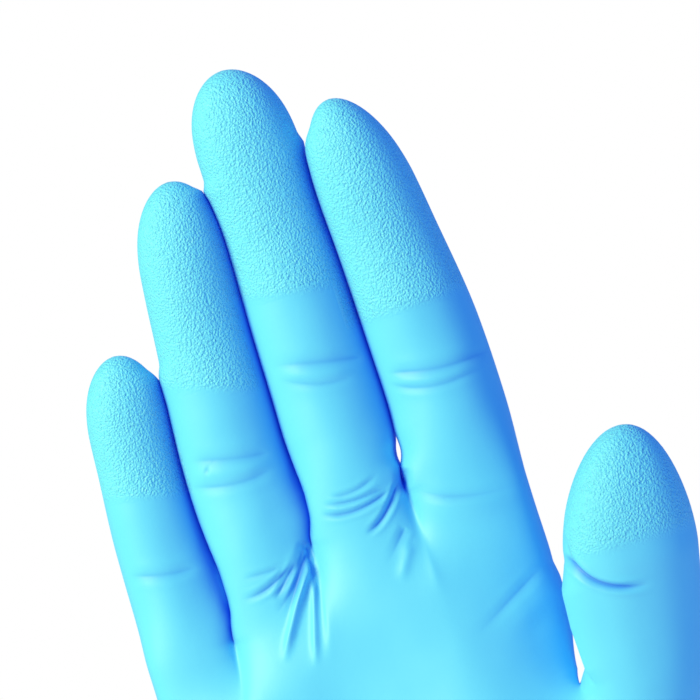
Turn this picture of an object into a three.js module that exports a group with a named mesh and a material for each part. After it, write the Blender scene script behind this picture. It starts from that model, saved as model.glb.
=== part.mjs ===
// Disposable exam glove, shown filled out in its worn form: right side, palm towards -Y, fingers up,
// thumb at +X. It is dipped in one piece, so it is one hollow solid: a cuff with a rolled rim, a palm,
// four fingers and a thumb. Lengths are in millimetres. The origin is the centre of the cuff's open end.
import * as THREE from "three";

// Film and rolled rim
const WALL = 1;
const BEAD_RADIUS = 1.3;

// Cuff, wrist and palm
const CUFF_LENGTH = 50;
const CUFF_BREADTH = 74;
const CUFF_DEPTH = 46;
const WRIST_BREADTH = 68.5;
const WRIST_DEPTH = 39;
const PALM_LENGTH = 104.5;
const PALM_DEPTH = 28;

// Fingers. The three sizes are the middle finger's, its length running from the web line to the tip, and the
// rows, from the little finger to the index, hold shares of them. Taper is the tip's share of the finger's
// breadth and round the height of the tip's dome. Of the finger breadth, depth and length in turn, lean is
// how far the tip leans towards the thumb, set how far the root sits back, and curl how far the tip comes
// forward.
const FINGER_BREADTH = 19.2;
const FINGER_DEPTH = 18;
const FINGER_LENGTH = 81.5;
const FINGER_SHARES = [
  {
    name: "little", breadth: 0.815, depth: 0.856, length: 0.664, taper: 0.95, round: 0.74,
    lean: 0.13, set: 0.29, curl: 0.06,
  },
  {
    name: "ring", breadth: 0.974, depth: 0.967, length: 0.907, taper: 0.89, round: 0.72,
    lean: 0.167, set: 0.167, curl: 0.073,
  },
  {
    name: "middle", breadth: 1, depth: 1, length: 1, taper: 0.98, round: 0.69,
    lean: -0.06, set: 0.056, curl: 0.073,
  },
  {
    name: "index", breadth: 1.055, depth: 0.989, length: 0.871, taper: 0.81, round: 0.76,
    lean: -0.246, set: -0.056, curl: 0.097,
  },
];
const FINGER_GAP = 0.5;
const MIDDLE_OFFSET = 5.6;

// Thumb
const THUMB_BREADTH = 23.6;
const THUMB_DEPTH = 20.5;
const THUMB_DOME = 15;

// Webs, from the little finger's outer side to the index's outer side: how far each lies from the middle of
// the gap above it towards the thumb, as a share of the finger breadth, and its height above the wrist as a
// share of the palm's length. Then half a web's depth, how far its back end lies below its front end, and
// how far the finger's root line dips between two webs.
const WEB_SHIFTS = [0, 0.01, -0.034, -0.075, -0.05];
const WEB_HEIGHTS = [0.885, 0.9, 1.02, 1.062, 1.02];
const WEB_HALF_DEPTH = 4.6;
const WEB_BACK_DROP = 9;
const ROOT_DIP = 3.5;

// A finger's section along its length: shares of its length, breadth and depth. It is narrower from front
// to back at its joints, at 0.3 and 0.62 of its length.
const FINGER_SECTIONS = [
  { at: 0, across: 1, deep: 1.12 },
  { at: 0.16, across: 1.005, deep: 1.1 },
  { at: 0.3, across: 0.995, deep: 1 },
  { at: 0.42, across: 1, deep: 1 },
  { at: 0.62, across: 0.985, deep: 0.9 },
  { at: 0.74, across: 1, deep: 0.9 },
  { at: 1, across: 0.98, deep: 0.82 },
];

// The cuff and palm, from the rim to the web line. Height is 0 at the rim, 1 at the wrist and 2 at the web
// line. Ulnar and radial are the half-breadths towards the little finger and the thumb, and front and back
// the half-depths, all as shares of half the breadth and depth of what the row follows.
const PALM_SECTIONS = [
  { height: 0, follows: "cuff", ulnar: 1, radial: 1, front: 1, back: 1 },
  { height: 0.5, follows: "cuff", ulnar: 0.965, radial: 0.965, front: 0.95, back: 0.95 },
  { height: 1, follows: "wrist", ulnar: 1, radial: 1, front: 1, back: 1 },
  { height: 1.2, follows: "palm", ulnar: 0.93, radial: 0.94, front: 1.42, back: 1.12 },
  { height: 1.42, follows: "palm", ulnar: 1.09, radial: 1.03, front: 1.3, back: 0.98 },
  { height: 1.62, follows: "palm", ulnar: 1.12, radial: 1.03, front: 1.12, back: 0.95 },
  { height: 1.8, follows: "palm", ulnar: 1.06, radial: 1, front: 0.98, back: 0.98 },
  { height: 2, follows: "palm", ulnar: 1, radial: 1, front: 0.86, back: 0.98 },
];

// Swellings of the palm's front. Across and wide are shares of the palm's breadth, up and tall of its
// length, and forward is the share of its depth that the swelling stands out, or in where it is negative.
const SWELLINGS = [
  { name: "ball_of_thumb", across: 0.26, up: 0.36, wide: 0.24, tall: 0.3, forward: 0.34 },
  { name: "heel", across: -0.38, up: 0.36, wide: 0.2, tall: 0.34, forward: 0.12 },
  { name: "hollow", across: -0.03, up: 0.62, wide: 0.2, tall: 0.26, forward: -0.1 },
];

// The thumb's middle line from its root beside the palm to its tip. Side, from the palm's middle, and
// forward are shares of the palm's breadth, and up is a share of its length. Across and deep are shares of
// the thumb's breadth and depth.
const THUMB_LINE = [
  { at: 0, side: 0.592, forward: 0.135, up: 0.605, across: 1.05, deep: 1.1 },
  { at: 0.3, side: 0.63, forward: 0.165, up: 0.7, across: 0.99, deep: 1.03 },
  { at: 0.52, side: 0.65, forward: 0.2, up: 0.785, across: 1, deep: 1 },
  { at: 0.78, side: 0.68, forward: 0.25, up: 0.9, across: 1.01, deep: 1 },
  { at: 1, side: 0.732, forward: 0.31, up: 1.05, across: 0.96, deep: 0.92 },
];
const THUMB_LEAVES = new THREE.Vector3(0.75, -0.1, 0.65).normalize();

// How full the corners of a section are: 2 is an ellipse. A finger's side, and the palm's, spans its angle
// to each side of the section's widest point.
const SECTION_POWER = 2.35;
const FINGER_SIDE_ANGLE = 0.45;
const PALM_SIDE_ANGLE = 0.36;

// Where the blends start or end: heights for the palm, and shares of a finger's length
const PALM_RISE_START = 1.25;
const PALM_JOIN_START = 1.75;
const FINGER_LEAVES_ROOT = 0.2;
const FINGER_LEVELS_OUT = 0.4;
const ROOT_CREST = 0.56;

// Mesh steps: round a finger's front, back and sides, then rows in shares of the length below a dome or of
// the palm's height, and the rows and columns of the palm that the thumb grows from.
const FRONT_STEPS = 7;
const BACK_STEPS = 5;
const SIDE_STEPS = 3;
const DOME_STEPS = 4;
const BEAD_ANGLES = [0.55, -0.4, -1.33, -2.2];
const FINGER_ROWS = [0.07, 0.15, 0.25, 0.35, 0.42, 0.49, 0.62, 0.78, 0.86, 0.94];
const THUMB_ROWS = [0.14, 0.3, 0.47, 0.64, 0.72, 0.8, 0.94];
const PALM_ROWS = [
  0.08, 0.28, 0.52, 0.76, 0.97, 1.075, 1.165, 1.255, 1.336, 1.411, 1.478, 1.545, 1.605, 1.664, 1.724, 1.776,
  1.829, 1.873, 1.91, 1.943, 1.973, 2,
];
const THUMB_PATCH = { lowRow: 7, highRow: 13, frontSteps: 3, backSteps: 2 };
const THUMB_ROOT_ROWS = 4;
const SMOOTH_ROUNDS = 20;
const SMOOTH_SHARE = 0.6;
const SMOOTH_REACH = 0.6;

const clamp = (v) => Math.min(1, Math.max(0, v));
const ease = (v) => clamp(v) ** 2 * (3 - 2 * clamp(v));
const mix = (a, b, t) => a + (b - a) * t;
const steps = (n) => Array.from({ length: n }, (_, j) => j / n);

// One column of a table at a place given by another column, on a smooth curve through the rows.
function read(table, place, column, at) {
  const last = table.length - 1;
  const after = table.findIndex((row) => row[place] > at);
  const k = after < 0 ? last - 1 : Math.max(0, after - 1);
  const slope = (n) => {
    const a = table[Math.max(0, n - 1)];
    const b = table[Math.min(last, n + 1)];
    return (b[column] - a[column]) / (b[place] - a[place]);
  };
  const [a, b] = [table[k], table[k + 1]];
  const span = b[place] - a[place];
  const t = clamp((at - a[place]) / span);
  const [t2, t3] = [t * t, t * t * t];
  return (
    (2 * t3 - 3 * t2 + 1) * a[column] + (t3 - 2 * t2 + t) * span * slope(k) +
    (3 * t2 - 2 * t3) * b[column] + (t3 - t2) * span * slope(k + 1)
  );
}

// A unit section with fuller corners than a circle: its x and y at an angle.
function section(angle) {
  const fuller = (v) => Math.sign(v) * Math.abs(v) ** (2 / SECTION_POWER);
  return [fuller(Math.cos(angle)), fuller(Math.sin(angle))];
}

// The share of its full section that a tube has, a distance below a dome's top.
function domeShare(below, dome) {
  return below < dome ? Math.sqrt(Math.max(0, 1 - (1 - below / dome) ** 2)) : 1;
}

// The fingers in millimetres. They stand side by side, and the middle one's place sets the others'.
const FINGERS = FINGER_SHARES.map((f) => ({
  ...f,
  breadth: f.breadth * FINGER_BREADTH,
  depth: f.depth * FINGER_DEPTH,
  length: f.length * FINGER_LENGTH,
  lean: f.lean * FINGER_BREADTH,
  set: f.set * FINGER_DEPTH,
  curl: f.curl * FINGER_LENGTH,
}));
const webHeights = WEB_HEIGHTS.map((share) => CUFF_LENGTH + PALM_LENGTH * share);
const TOP = webHeights.reduce((a, b) => a + b, 0) / webHeights.length;
const pitch = FINGERS.map((f) => f.breadth + FINGER_GAP);
const middle = FINGERS.findIndex((f) => f.name === "middle");
const edges = [MIDDLE_OFFSET - pitch[middle] / 2 - pitch.slice(0, middle).reduce((a, b) => a + b, 0)];
pitch.forEach((p) => edges.push(edges[edges.length - 1] + p));
const roots = FINGERS.map((_, i) => ({
  x: (edges[i] + edges[i + 1]) / 2,
  z: (webHeights[i] + webHeights[i + 1]) / 2,
}));
const PALM_BREADTH = edges[FINGERS.length] - edges[0];
const PALM_MIDDLE = (edges[0] + edges[FINGERS.length]) / 2;

// A web sits back halfway between the fingers beside it.
const webSets = edges.map((_, k) => {
  const beside = [FINGERS[k - 1], FINGERS[k]].filter(Boolean);
  return beside.reduce((sum, f) => sum + f.set, 0) / beside.length;
});

// A point of a web line, from its front end at 0 to its back end at 1.
function webPoint(k, t) {
  const y = webSets[k] + mix(-WEB_HALF_DEPTH, WEB_HALF_DEPTH, t);
  const x = edges[k] + WEB_SHIFTS[k] * FINGER_BREADTH;
  return new THREE.Vector3(x, y, webHeights[k] - WEB_BACK_DROP * t * t);
}

// A point of the line where a finger's front, side -1, or its back, side 1, meets the palm.
function rootPoint(i, t, side) {
  const end = side > 0 ? 1 : 0;
  const [a, b] = [webPoint(i, end), webPoint(i + 1, end)];
  const arch = Math.sin(Math.PI * t) ** 0.75;
  const crest = FINGERS[i].depth * ROOT_CREST - WEB_HALF_DEPTH;
  return new THREE.Vector3(
    mix(a.x, b.x, (1 - Math.cos(Math.PI * t)) / 2),
    mix(a.y, b.y, t) + side * crest * arch,
    mix(a.z, b.z, t) - ROOT_DIP * arch,
  );
}

// A point of a finger: a share of its length up, and an angle round its section.
function fingerPoint(i, up, angle) {
  const f = FINGERS[i];
  const closing = domeShare((1 - up) * f.length, f.round * f.breadth);
  const taper = 1 - (1 - f.taper) * ease((up - 0.3) / 0.7);
  const bend = clamp((up - 0.25) / 0.75) ** 1.5;
  const [cx, cy] = section(angle);
  const halfBreadth = (f.breadth / 2) * read(FINGER_SECTIONS, "at", "across", up) * taper * closing;
  const halfDepth = (f.depth / 2) * read(FINGER_SECTIONS, "at", "deep", up) * closing;
  return new THREE.Vector3(
    roots[i].x + f.lean * bend + halfBreadth * cx,
    f.set - f.curl * up * up + halfDepth * cy,
    roots[i].z + f.length * up,
  );
}

// The palm's rows in millimetres, low and high being the x of its two sides
const palmSizes = {
  cuff: { breadth: CUFF_BREADTH, depth: CUFF_DEPTH, centre: 0 },
  wrist: { breadth: WRIST_BREADTH, depth: WRIST_DEPTH, centre: 0 },
  palm: { breadth: PALM_BREADTH, depth: PALM_DEPTH, centre: PALM_MIDDLE },
};
const palmTable = PALM_SECTIONS.map((row) => {
  const size = palmSizes[row.follows];
  return {
    height: row.height,
    low: size.centre - (size.breadth / 2) * row.ulnar,
    high: size.centre + (size.breadth / 2) * row.radial,
    front: (size.depth / 2) * row.front,
    back: (size.depth / 2) * row.back,
  };
});
const palmZ = (height) => (height < 1 ? CUFF_LENGTH * height : mix(CUFF_LENGTH, TOP, height - 1));

// A point of the palm or cuff: a height, and an angle round the section. Towards the web line the section
// turns about Z, as the row of fingers does.
function palmPoint(height, angle) {
  const z = palmZ(height);
  const [cx, cy] = section(angle);
  const low = read(palmTable, "height", "low", height);
  const high = read(palmTable, "height", "high", height);
  const deep = read(palmTable, "height", cy < 0 ? "front" : "back", height);
  const x = mix(low, high, (cx + 1) / 2);
  const turn = (webSets[FINGERS.length] - webSets[0]) * ease(height - 1);
  let y = webSets[middle] * ease(z / TOP) + (turn * (x - PALM_MIDDLE)) / PALM_BREADTH + deep * cy;
  for (const s of SWELLINGS) {
    const u = (x - PALM_MIDDLE - s.across * PALM_BREADTH) / (s.wide * PALM_BREADTH);
    const v = (z - CUFF_LENGTH - s.up * PALM_LENGTH) / (s.tall * PALM_LENGTH);
    y -= s.forward * PALM_DEPTH * Math.exp(-u * u - v * v) * ease(-cy);
  }
  return new THREE.Vector3(x, y, z);
}

// The skin: points, and faces of three or four points each. A ring is a list of point numbers.
const points = [];
const faces = [];
const add = (p) => points.push(p) - 1;

// Joins two rings with four-sided faces.
function band(low, high) {
  low.forEach((a, j) => {
    const n = (j + 1) % low.length;
    faces.push([a, low[n], high[n], high[j]]);
  });
}

// Closes a tube's last ring on a point.
function cap(ring, p) {
  const pole = add(p);
  ring.forEach((a, j) => faces.push([a, ring[(j + 1) % ring.length], pole]));
}

// Rows up to a dome's foot and over it, as shares of the whole length.
function rowsWithDome(rows, dome) {
  const over = steps(DOME_STEPS).map((t) => 1 - dome * (1 - Math.sin((Math.PI / 2) * t)));
  return [...rows.map((share) => share * (1 - dome)), ...over];
}

// The web lines and root lines, which the palm and the fingers share
const webs = edges.map((_, k) => [...steps(SIDE_STEPS), 1].map((t) => add(webPoint(k, t))));
const frontLines = FINGERS.map((_, i) => [
  webs[i][0],
  ...steps(FRONT_STEPS).slice(1).map((t) => add(rootPoint(i, t, -1))),
  webs[i + 1][0],
]);
const backLines = FINGERS.map((_, i) => [
  webs[i][SIDE_STEPS],
  ...steps(BACK_STEPS).slice(1).map((t) => add(rootPoint(i, t, 1))),
  webs[i + 1][SIDE_STEPS],
]);

// Angles round a finger in the order of its root ring: front, thumb's side, back, little finger's side
const spread = (from, to, n) => steps(n).map((t) => mix(from, to, t));
const fingerAngles = [
  ...spread(Math.PI + FINGER_SIDE_ANGLE, 2 * Math.PI - FINGER_SIDE_ANGLE, FRONT_STEPS),
  ...spread(-FINGER_SIDE_ANGLE, FINGER_SIDE_ANGLE, SIDE_STEPS),
  ...spread(FINGER_SIDE_ANGLE, Math.PI - FINGER_SIDE_ANGLE, BACK_STEPS),
  ...spread(Math.PI - FINGER_SIDE_ANGLE, Math.PI + FINGER_SIDE_ANGLE, SIDE_STEPS),
];

// A finger leaves its root line in a blend, and its rows level out further up.
function buildFinger(f, i) {
  const root = [
    ...frontLines[i].slice(0, -1),
    ...webs[i + 1].slice(0, -1),
    ...backLines[i].slice(1).reverse(),
    ...webs[i].slice(1).reverse(),
  ];
  let ring = root;
  for (const up of rowsWithDome(FINGER_ROWS, (f.round * f.breadth) / f.length)) {
    const leave = ease(up / FINGER_LEAVES_ROOT);
    const slope = 1 - ease(up / FINGER_LEVELS_OUT);
    const next = fingerAngles.map((angle, j) => {
      const foot = points[root[j]];
      const p = fingerPoint(i, up, angle);
      p.x = mix(foot.x, p.x, leave);
      p.y = mix(foot.y, p.y, leave);
      p.z += (foot.z - roots[i].z) * slope;
      return add(p);
    });
    band(ring, next);
    ring = next;
  }
  cap(ring, fingerPoint(i, 1, 0));
}

// The palm's topmost ring runs along the fronts of the root lines, the index's outer web, the backs and the
// little finger's outer web. The rings below it keep its number of points.
const topRing = [
  ...frontLines.flatMap((line) => line.slice(0, -1)),
  ...webs[FINGERS.length].slice(0, -1),
  ...[...backLines].reverse().flatMap((line) => line.slice(1).reverse()),
  ...webs[0].slice(1).reverse(),
];
const frontCount = FRONT_STEPS * FINGERS.length;
const backStart = frontCount + SIDE_STEPS;
const backEnd = backStart + BACK_STEPS * FINGERS.length;
const palmAngles = topRing.map((v, j) => {
  const across = (2 * (points[v].x - PALM_MIDDLE)) / PALM_BREADTH;
  const angle = Math.acos(across * Math.cos(PALM_SIDE_ANGLE));
  if (j < frontCount) return 2 * Math.PI - angle;
  if (j < backStart) return mix(-PALM_SIDE_ANGLE, PALM_SIDE_ANGLE, (j - frontCount) / SIDE_STEPS);
  if (j < backEnd) return angle;
  return Math.PI + mix(-PALM_SIDE_ANGLE, PALM_SIDE_ANGLE, (j - backEnd) / SIDE_STEPS);
});

function palmRing(height) {
  const rise = ease((height - PALM_RISE_START) / (2 - PALM_RISE_START));
  const join = ease((height - PALM_JOIN_START) / (2 - PALM_JOIN_START));
  return topRing.map((v, j) => {
    const top = points[v];
    const p = palmPoint(height, palmAngles[j]);
    p.x = mix(p.x, top.x, join);
    p.y = mix(p.y, top.y, join);
    p.z += (top.z - TOP) * rise;
    return add(p);
  });
}

const palmRings = [...PALM_ROWS.slice(0, -1).map(palmRing), topRing];
const patch = { from: frontCount - THUMB_PATCH.frontSteps, to: backStart + THUMB_PATCH.backSteps };
palmRings.slice(0, -1).forEach((low, r) => {
  const high = palmRings[r + 1];
  low.forEach((a, j) => {
    const inRows = r >= THUMB_PATCH.lowRow && r < THUMB_PATCH.highRow;
    const n = (j + 1) % low.length;
    if (!inRows || j < patch.from || j >= patch.to) faces.push([a, low[n], high[n], high[j]]);
  });
});

// The thumb's root ring is the edge of the patch: its foot, back, top and front.
const patchColumns = steps(patch.to - patch.from).map((_, j) => patch.from + j);
const patchRows = palmRings.slice(THUMB_PATCH.lowRow, THUMB_PATCH.highRow);
const thumbRoot = [
  ...patchColumns.map((j) => palmRings[THUMB_PATCH.lowRow][j]),
  ...patchRows.map((ring) => ring[patch.to]),
  ...[...patchColumns].reverse().map((j) => palmRings[THUMB_PATCH.highRow][j + 1]),
  ...[...patchRows.slice(1), palmRings[THUMB_PATCH.highRow]].reverse().map((ring) => ring[patch.from]),
];

function thumbCentre(at) {
  return new THREE.Vector3(
    PALM_MIDDLE + PALM_BREADTH * read(THUMB_LINE, "at", "side", at),
    -PALM_BREADTH * read(THUMB_LINE, "at", "forward", at),
    CUFF_LENGTH + PALM_LENGTH * read(THUMB_LINE, "at", "up", at),
  );
}
const THUMB_LENGTH = THUMB_LINE.slice(1).reduce(
  (sum, row, k) => sum + thumbCentre(row.at).distanceTo(thumbCentre(THUMB_LINE[k].at)), 0);

// The thumb's direction at a share of its length
function thumbAlong(at) {
  const near = 0.02;
  return thumbCentre(Math.min(1, at + near)).sub(thumbCentre(Math.max(0, at - near))).normalize();
}

// A point of the thumb: its section lies square to its middle line.
function thumbPoint(at, angle) {
  const along = thumbAlong(at);
  const side = new THREE.Vector3(1, 0, 0).addScaledVector(along, -along.x).normalize();
  const back = new THREE.Vector3().crossVectors(along, side);
  const closing = domeShare((1 - at) * THUMB_LENGTH, THUMB_DOME);
  const [cx, cy] = section(angle);
  return thumbCentre(at)
    .addScaledVector(side, (THUMB_BREADTH / 2) * read(THUMB_LINE, "at", "across", at) * closing * cx)
    .addScaledVector(back, (THUMB_DEPTH / 2) * read(THUMB_LINE, "at", "deep", at) * closing * cy);
}

// Angles round the thumb in the order of its root ring: each side of the patch takes a quarter.
const QUARTER = Math.PI / 2;
const thumbAngles = [patchColumns, patchRows, patchColumns, patchRows].flatMap((side, quarter) =>
  spread(QUARTER * (quarter - 0.5), QUARTER * (quarter + 0.5), side.length));

// The thumb curves out of the palm's edge from its root ring to its first section, and goes on to its tip.
function buildThumb() {
  const along = thumbAlong(0);
  const paths = thumbRoot.map((v, j) => {
    const from = points[v];
    const to = thumbPoint(0, thumbAngles[j]);
    const reach = from.distanceTo(to) * 0.4;
    const [leaving, arriving] = [from.clone(), to.clone()];
    leaving.addScaledVector(THUMB_LEAVES, reach);
    arriving.addScaledVector(along, -reach);
    return new THREE.CubicBezierCurve3(from, leaving, arriving, to);
  });
  let ring = thumbRoot;
  const grow = (next) => {
    band(ring, next);
    ring = next;
  };
  for (const t of [...steps(THUMB_ROOT_ROWS).slice(1), 1]) {
    grow(paths.map((path) => add(path.getPoint(t))));
  }
  for (const at of rowsWithDome(THUMB_ROWS, THUMB_DOME / THUMB_LENGTH)) {
    grow(thumbAngles.map((angle) => add(thumbPoint(at, angle))));
  }
  cap(ring, thumbPoint(1, 0));
}

// Evens the skin out: in each round a point moves its weight's share of the way to its neighbours' middle.
function smooth(weights) {
  const near = points.map(() => new Set());
  for (const face of faces) {
    face.forEach((a, k) => {
      const b = face[(k + 1) % face.length];
      near[a].add(b);
      near[b].add(a);
    });
  }
  for (let n = 0; n < SMOOTH_ROUNDS; n++) {
    const moved = points.map((p, v) => {
      const mean = new THREE.Vector3();
      near[v].forEach((w) => mean.add(points[w]));
      return p.clone().lerp(mean.divideScalar(near[v].size), weights[v]);
    });
    points.forEach((p, v) => p.copy(moved[v]));
  }
}

FINGERS.forEach(buildFinger);
buildThumb();

// The fold between thumb and palm is evened out, most at the thumb's root.
const thumbFoot = thumbRoot.reduce((sum, v) => sum.add(points[v]), new THREE.Vector3())
  .divideScalar(thumbRoot.length);
smooth(points.map((p) => {
  const away = p.distanceTo(thumbFoot) / (PALM_BREADTH * SMOOTH_REACH);
  return SMOOTH_SHARE * ease(1.5 * (1 - away));
}));

// The skin's outward normals, each the sum over the faces round its point
function normals() {
  const sums = points.map(() => new THREE.Vector3());
  for (const face of faces) {
    const [a, b, c, d] = face.map((v) => points[v]);
    const across = c.clone().sub(a);
    const turn = across.cross((d ?? a).clone().sub(b));
    face.forEach((v) => sums[v].add(turn));
  }
  return sums.map((n) => n.normalize());
}

// The film: the skin, its inner side a wall's thickness in, and the rolled rim that joins the two.
function filmGeometry() {
  const outward = normals();
  const all = [...points, ...points.map((p, v) => p.clone().addScaledVector(outward[v], -WALL))];
  const inner = (v) => v + points.length;
  const triangles = [];
  const face = (vs) => {
    triangles.push(vs[0], vs[1], vs[2]);
    if (vs.length === 4) triangles.push(vs[0], vs[2], vs[3]);
  };
  faces.forEach((vs) => face(vs));
  faces.forEach((vs) => face(vs.map(inner).reverse()));

  const rim = palmRings[0];
  const join = (high, low) => high.forEach((a, j) => {
    const k = (j + 1) % high.length;
    face([low[j], low[k], high[k], a]);
  });
  let ring = rim;
  for (const angle of BEAD_ANGLES) {
    const next = rim.map((v) => {
      const out = outward[v].clone().setZ(0).normalize();
      const p = points[v].clone().addScaledVector(out, BEAD_RADIUS * Math.cos(angle));
      return all.push(p.setZ(BEAD_RADIUS * (1 + Math.sin(angle)))) - 1;
    });
    join(ring, next);
    ring = next;
  }
  join(ring, rim.map(inner));

  const geometry = new THREE.BufferGeometry();
  geometry.setAttribute("position", new THREE.Float32BufferAttribute(all.flatMap((p) => p.toArray()), 3));
  geometry.setIndex(triangles);
  geometry.computeVertexNormals();
  return geometry;
}

const nitrile = new THREE.MeshStandardMaterial({ color: 0x4fc6ee, roughness: 0.55, metalness: 0 });
const glove = new THREE.Mesh(filmGeometry(), nitrile);
glove.name = "glove";

const part = new THREE.Group();
part.add(glove);
export default part;
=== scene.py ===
import math

import bpy
import mathutils
import numpy as np
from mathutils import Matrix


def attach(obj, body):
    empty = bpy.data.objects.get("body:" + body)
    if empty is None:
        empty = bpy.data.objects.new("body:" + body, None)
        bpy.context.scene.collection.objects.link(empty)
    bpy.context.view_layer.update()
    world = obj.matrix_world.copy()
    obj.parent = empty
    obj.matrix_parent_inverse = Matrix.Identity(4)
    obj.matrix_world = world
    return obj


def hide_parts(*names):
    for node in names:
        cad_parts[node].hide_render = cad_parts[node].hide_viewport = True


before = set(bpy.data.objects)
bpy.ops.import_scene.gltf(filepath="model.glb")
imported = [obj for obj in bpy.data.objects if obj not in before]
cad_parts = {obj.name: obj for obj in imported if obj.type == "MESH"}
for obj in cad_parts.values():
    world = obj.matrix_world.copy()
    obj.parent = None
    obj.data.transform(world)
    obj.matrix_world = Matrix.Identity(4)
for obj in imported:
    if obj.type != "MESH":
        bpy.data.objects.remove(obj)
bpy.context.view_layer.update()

MM = 0.001

# Film and rolled rim
WALL = 1.0
BEAD_RADIUS = 1.3

# Cuff, wrist and palm, as in the solid
CUFF_LENGTH, CUFF_BREADTH, CUFF_DEPTH = 50, 74, 46
WRIST_BREADTH, WRIST_DEPTH = 68.5, 39
PALM_LENGTH, PALM_DEPTH = 104.5, 28
FINGER_BREADTH, FINGER_DEPTH, FINGER_LENGTH = 19.2, 18, 81.5
FINGER_GAP, MIDDLE_OFFSET = 0.5, 5.6
THUMB_BREADTH, THUMB_DEPTH, THUMB_DOME = 23.6, 20.5, 15
WEB_HALF_DEPTH, WEB_BACK_DROP, ROOT_DIP = 4.6, 9, 3.5


def table(columns, *rows):
    """Rows of numbers as one array per named column."""
    return dict(zip(columns.split(), np.array(rows, float).T))


# Fingers from the little one to the index, as shares of the three finger sizes: the tip's share of the
# breadth, the dome's height over the breadth, lean towards the thumb, set back at the root, forward curl
FINGERS = table(
    "breadth depth length taper round lean set curl",
    (0.815, 0.856, 0.664, 0.95, 0.74, 0.13, 0.29, 0.06),
    (0.974, 0.967, 0.907, 0.89, 0.72, 0.167, 0.167, 0.073),
    (1, 1, 1, 0.98, 0.69, -0.06, 0.056, 0.073),
    (1.055, 0.989, 0.871, 0.81, 0.76, -0.246, -0.056, 0.097),
)
for column, size in {
    "breadth": FINGER_BREADTH, "depth": FINGER_DEPTH, "length": FINGER_LENGTH,
    "lean": FINGER_BREADTH, "set": FINGER_DEPTH, "curl": FINGER_LENGTH,
}.items():
    FINGERS[column] = FINGERS[column] * size
MIDDLE = 2
# A finger narrows and leans from these shares of its length on, the lean growing with a power of the way up
TAPER_START, LEAN_START, LEAN_POWER = 0.3, 0.25, 1.5

# Webs from the little finger's outer side to the index's: the shift towards the thumb as a share of the
# finger breadth, and the height above the wrist as a share of the palm's length
WEB_SHIFTS = np.array([0, 0.01, -0.034, -0.075, -0.05])
WEB_HEIGHTS = np.array([0.885, 0.9, 1.02, 1.062, 1.02])
# Breadth and depth along a finger, as shares of its own, at shares of its length
FINGER_SECTIONS = table(
    "at across deep",
    (0, 1, 1.12), (0.16, 1.005, 1.1), (0.3, 0.995, 1.0), (0.42, 1, 1), (0.62, 0.985, 0.9), (0.74, 1, 0.9),
    (1, 0.98, 0.82),
)

# The cuff and palm at heights from the rim, 0, past the wrist, 1, to the web line, 2. The half sizes are
# shares of half the cuff's, the wrist's or the palm's breadth and depth, whichever the row follows.
CUFF, WRIST, PALM = 0, 1, 2
PALM_SECTIONS = table(
    "height follows ulnar radial front back",
    (0, CUFF, 1, 1, 1, 1),
    (0.5, CUFF, 0.965, 0.965, 0.95, 0.95),
    (1, WRIST, 1, 1, 1, 1),
    (1.2, PALM, 0.93, 0.94, 1.42, 1.12),
    (1.42, PALM, 1.09, 1.03, 1.3, 0.98),
    (1.62, PALM, 1.12, 1.03, 1.12, 0.95),
    (1.8, PALM, 1.06, 1, 0.98, 0.98),
    (2, PALM, 1, 1, 0.86, 0.98),
)
# Ball of the thumb, heel and hollow of the palm's front, as shares of the palm's breadth, length and depth
SWELLINGS = table(
    "across up wide tall forward",
    (0.26, 0.36, 0.24, 0.3, 0.34),
    (-0.38, 0.36, 0.2, 0.34, 0.12),
    (-0.03, 0.62, 0.2, 0.26, -0.1),
)
# The thumb's middle line at shares of its length: its place as shares of the palm's breadth and length, and
# its breadth and depth as shares of the thumb's
THUMB_LINE = table(
    "at side forward up across deep",
    (0, 0.592, 0.135, 0.605, 1.05, 1.1),
    (0.3, 0.63, 0.165, 0.7, 0.99, 1.03),
    (0.52, 0.65, 0.2, 0.785, 1, 1),
    (0.78, 0.68, 0.25, 0.9, 1.01, 1),
    (1, 0.732, 0.31, 1.05, 0.96, 0.92),
)
# The way in which the thumb's root leaves the palm, and how long its curve's end handles are, as a share of
# the distance that it bridges
THUMB_LEAVES, THUMB_HANDLES = np.array([0.75, -0.1, 0.65]), 0.4

# How full the sections are, half the angle that the sides of a finger and of the palm take up, and the faces
# along a finger's front, back and sides
SECTION_POWER, FINGER_POWER, FINGER_SIDE, PALM_SIDE = 2.35, 2.1, 0.45, 0.36
FRONT, BACK, SIDE = 7, 5, 3

# A root line's crest as a share of the finger's depth, and the power of its arch. A finger's outline and
# height leave its root line's over these shares of its length. The palm goes over to the root lines' height,
# x and y from these palm heights up to 2.
ROOT_CREST, ARCH_POWER = 0.56, 0.75
FINGER_LEAVES_ROOT, FINGER_LEVELS_OUT = 0.2, 0.4
PALM_RISE_START, PALM_JOIN_START, PALM_DEEP_JOIN_START = 1.25, 1.75, 1.83

# Rows of the skin: shares of a finger's and the thumb's length below the dome, and palm heights
FINGER_ROWS = np.concatenate([np.linspace(0.035, 0.25, 7), np.linspace(0.29, 0.97, 14)])
THUMB_ROWS = np.linspace(0.08, 0.96, 12)
PALM_ROWS = np.concatenate([
    np.linspace(0.08, 0.9, 7), np.linspace(1, 1.605, 13), np.linspace(1.64, 1.98, 16),
])
# The hole that the thumb grows from: palm heights, and columns to both sides of the palm's thumb edge
THUMB_HOLE, HOLE_FRONT, HOLE_BACK = (1.25, 1.66), 3, 2
DOME_STEPS, THUMB_ROOT_STEPS = 5, 5
# Smoothing at the thumb's root: rounds, share, and how far it reaches as a share of the palm's breadth
SMOOTH_ROUNDS, SMOOTH_SHARE, SMOOTH_REACH = 26, 0.6, 0.6

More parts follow.
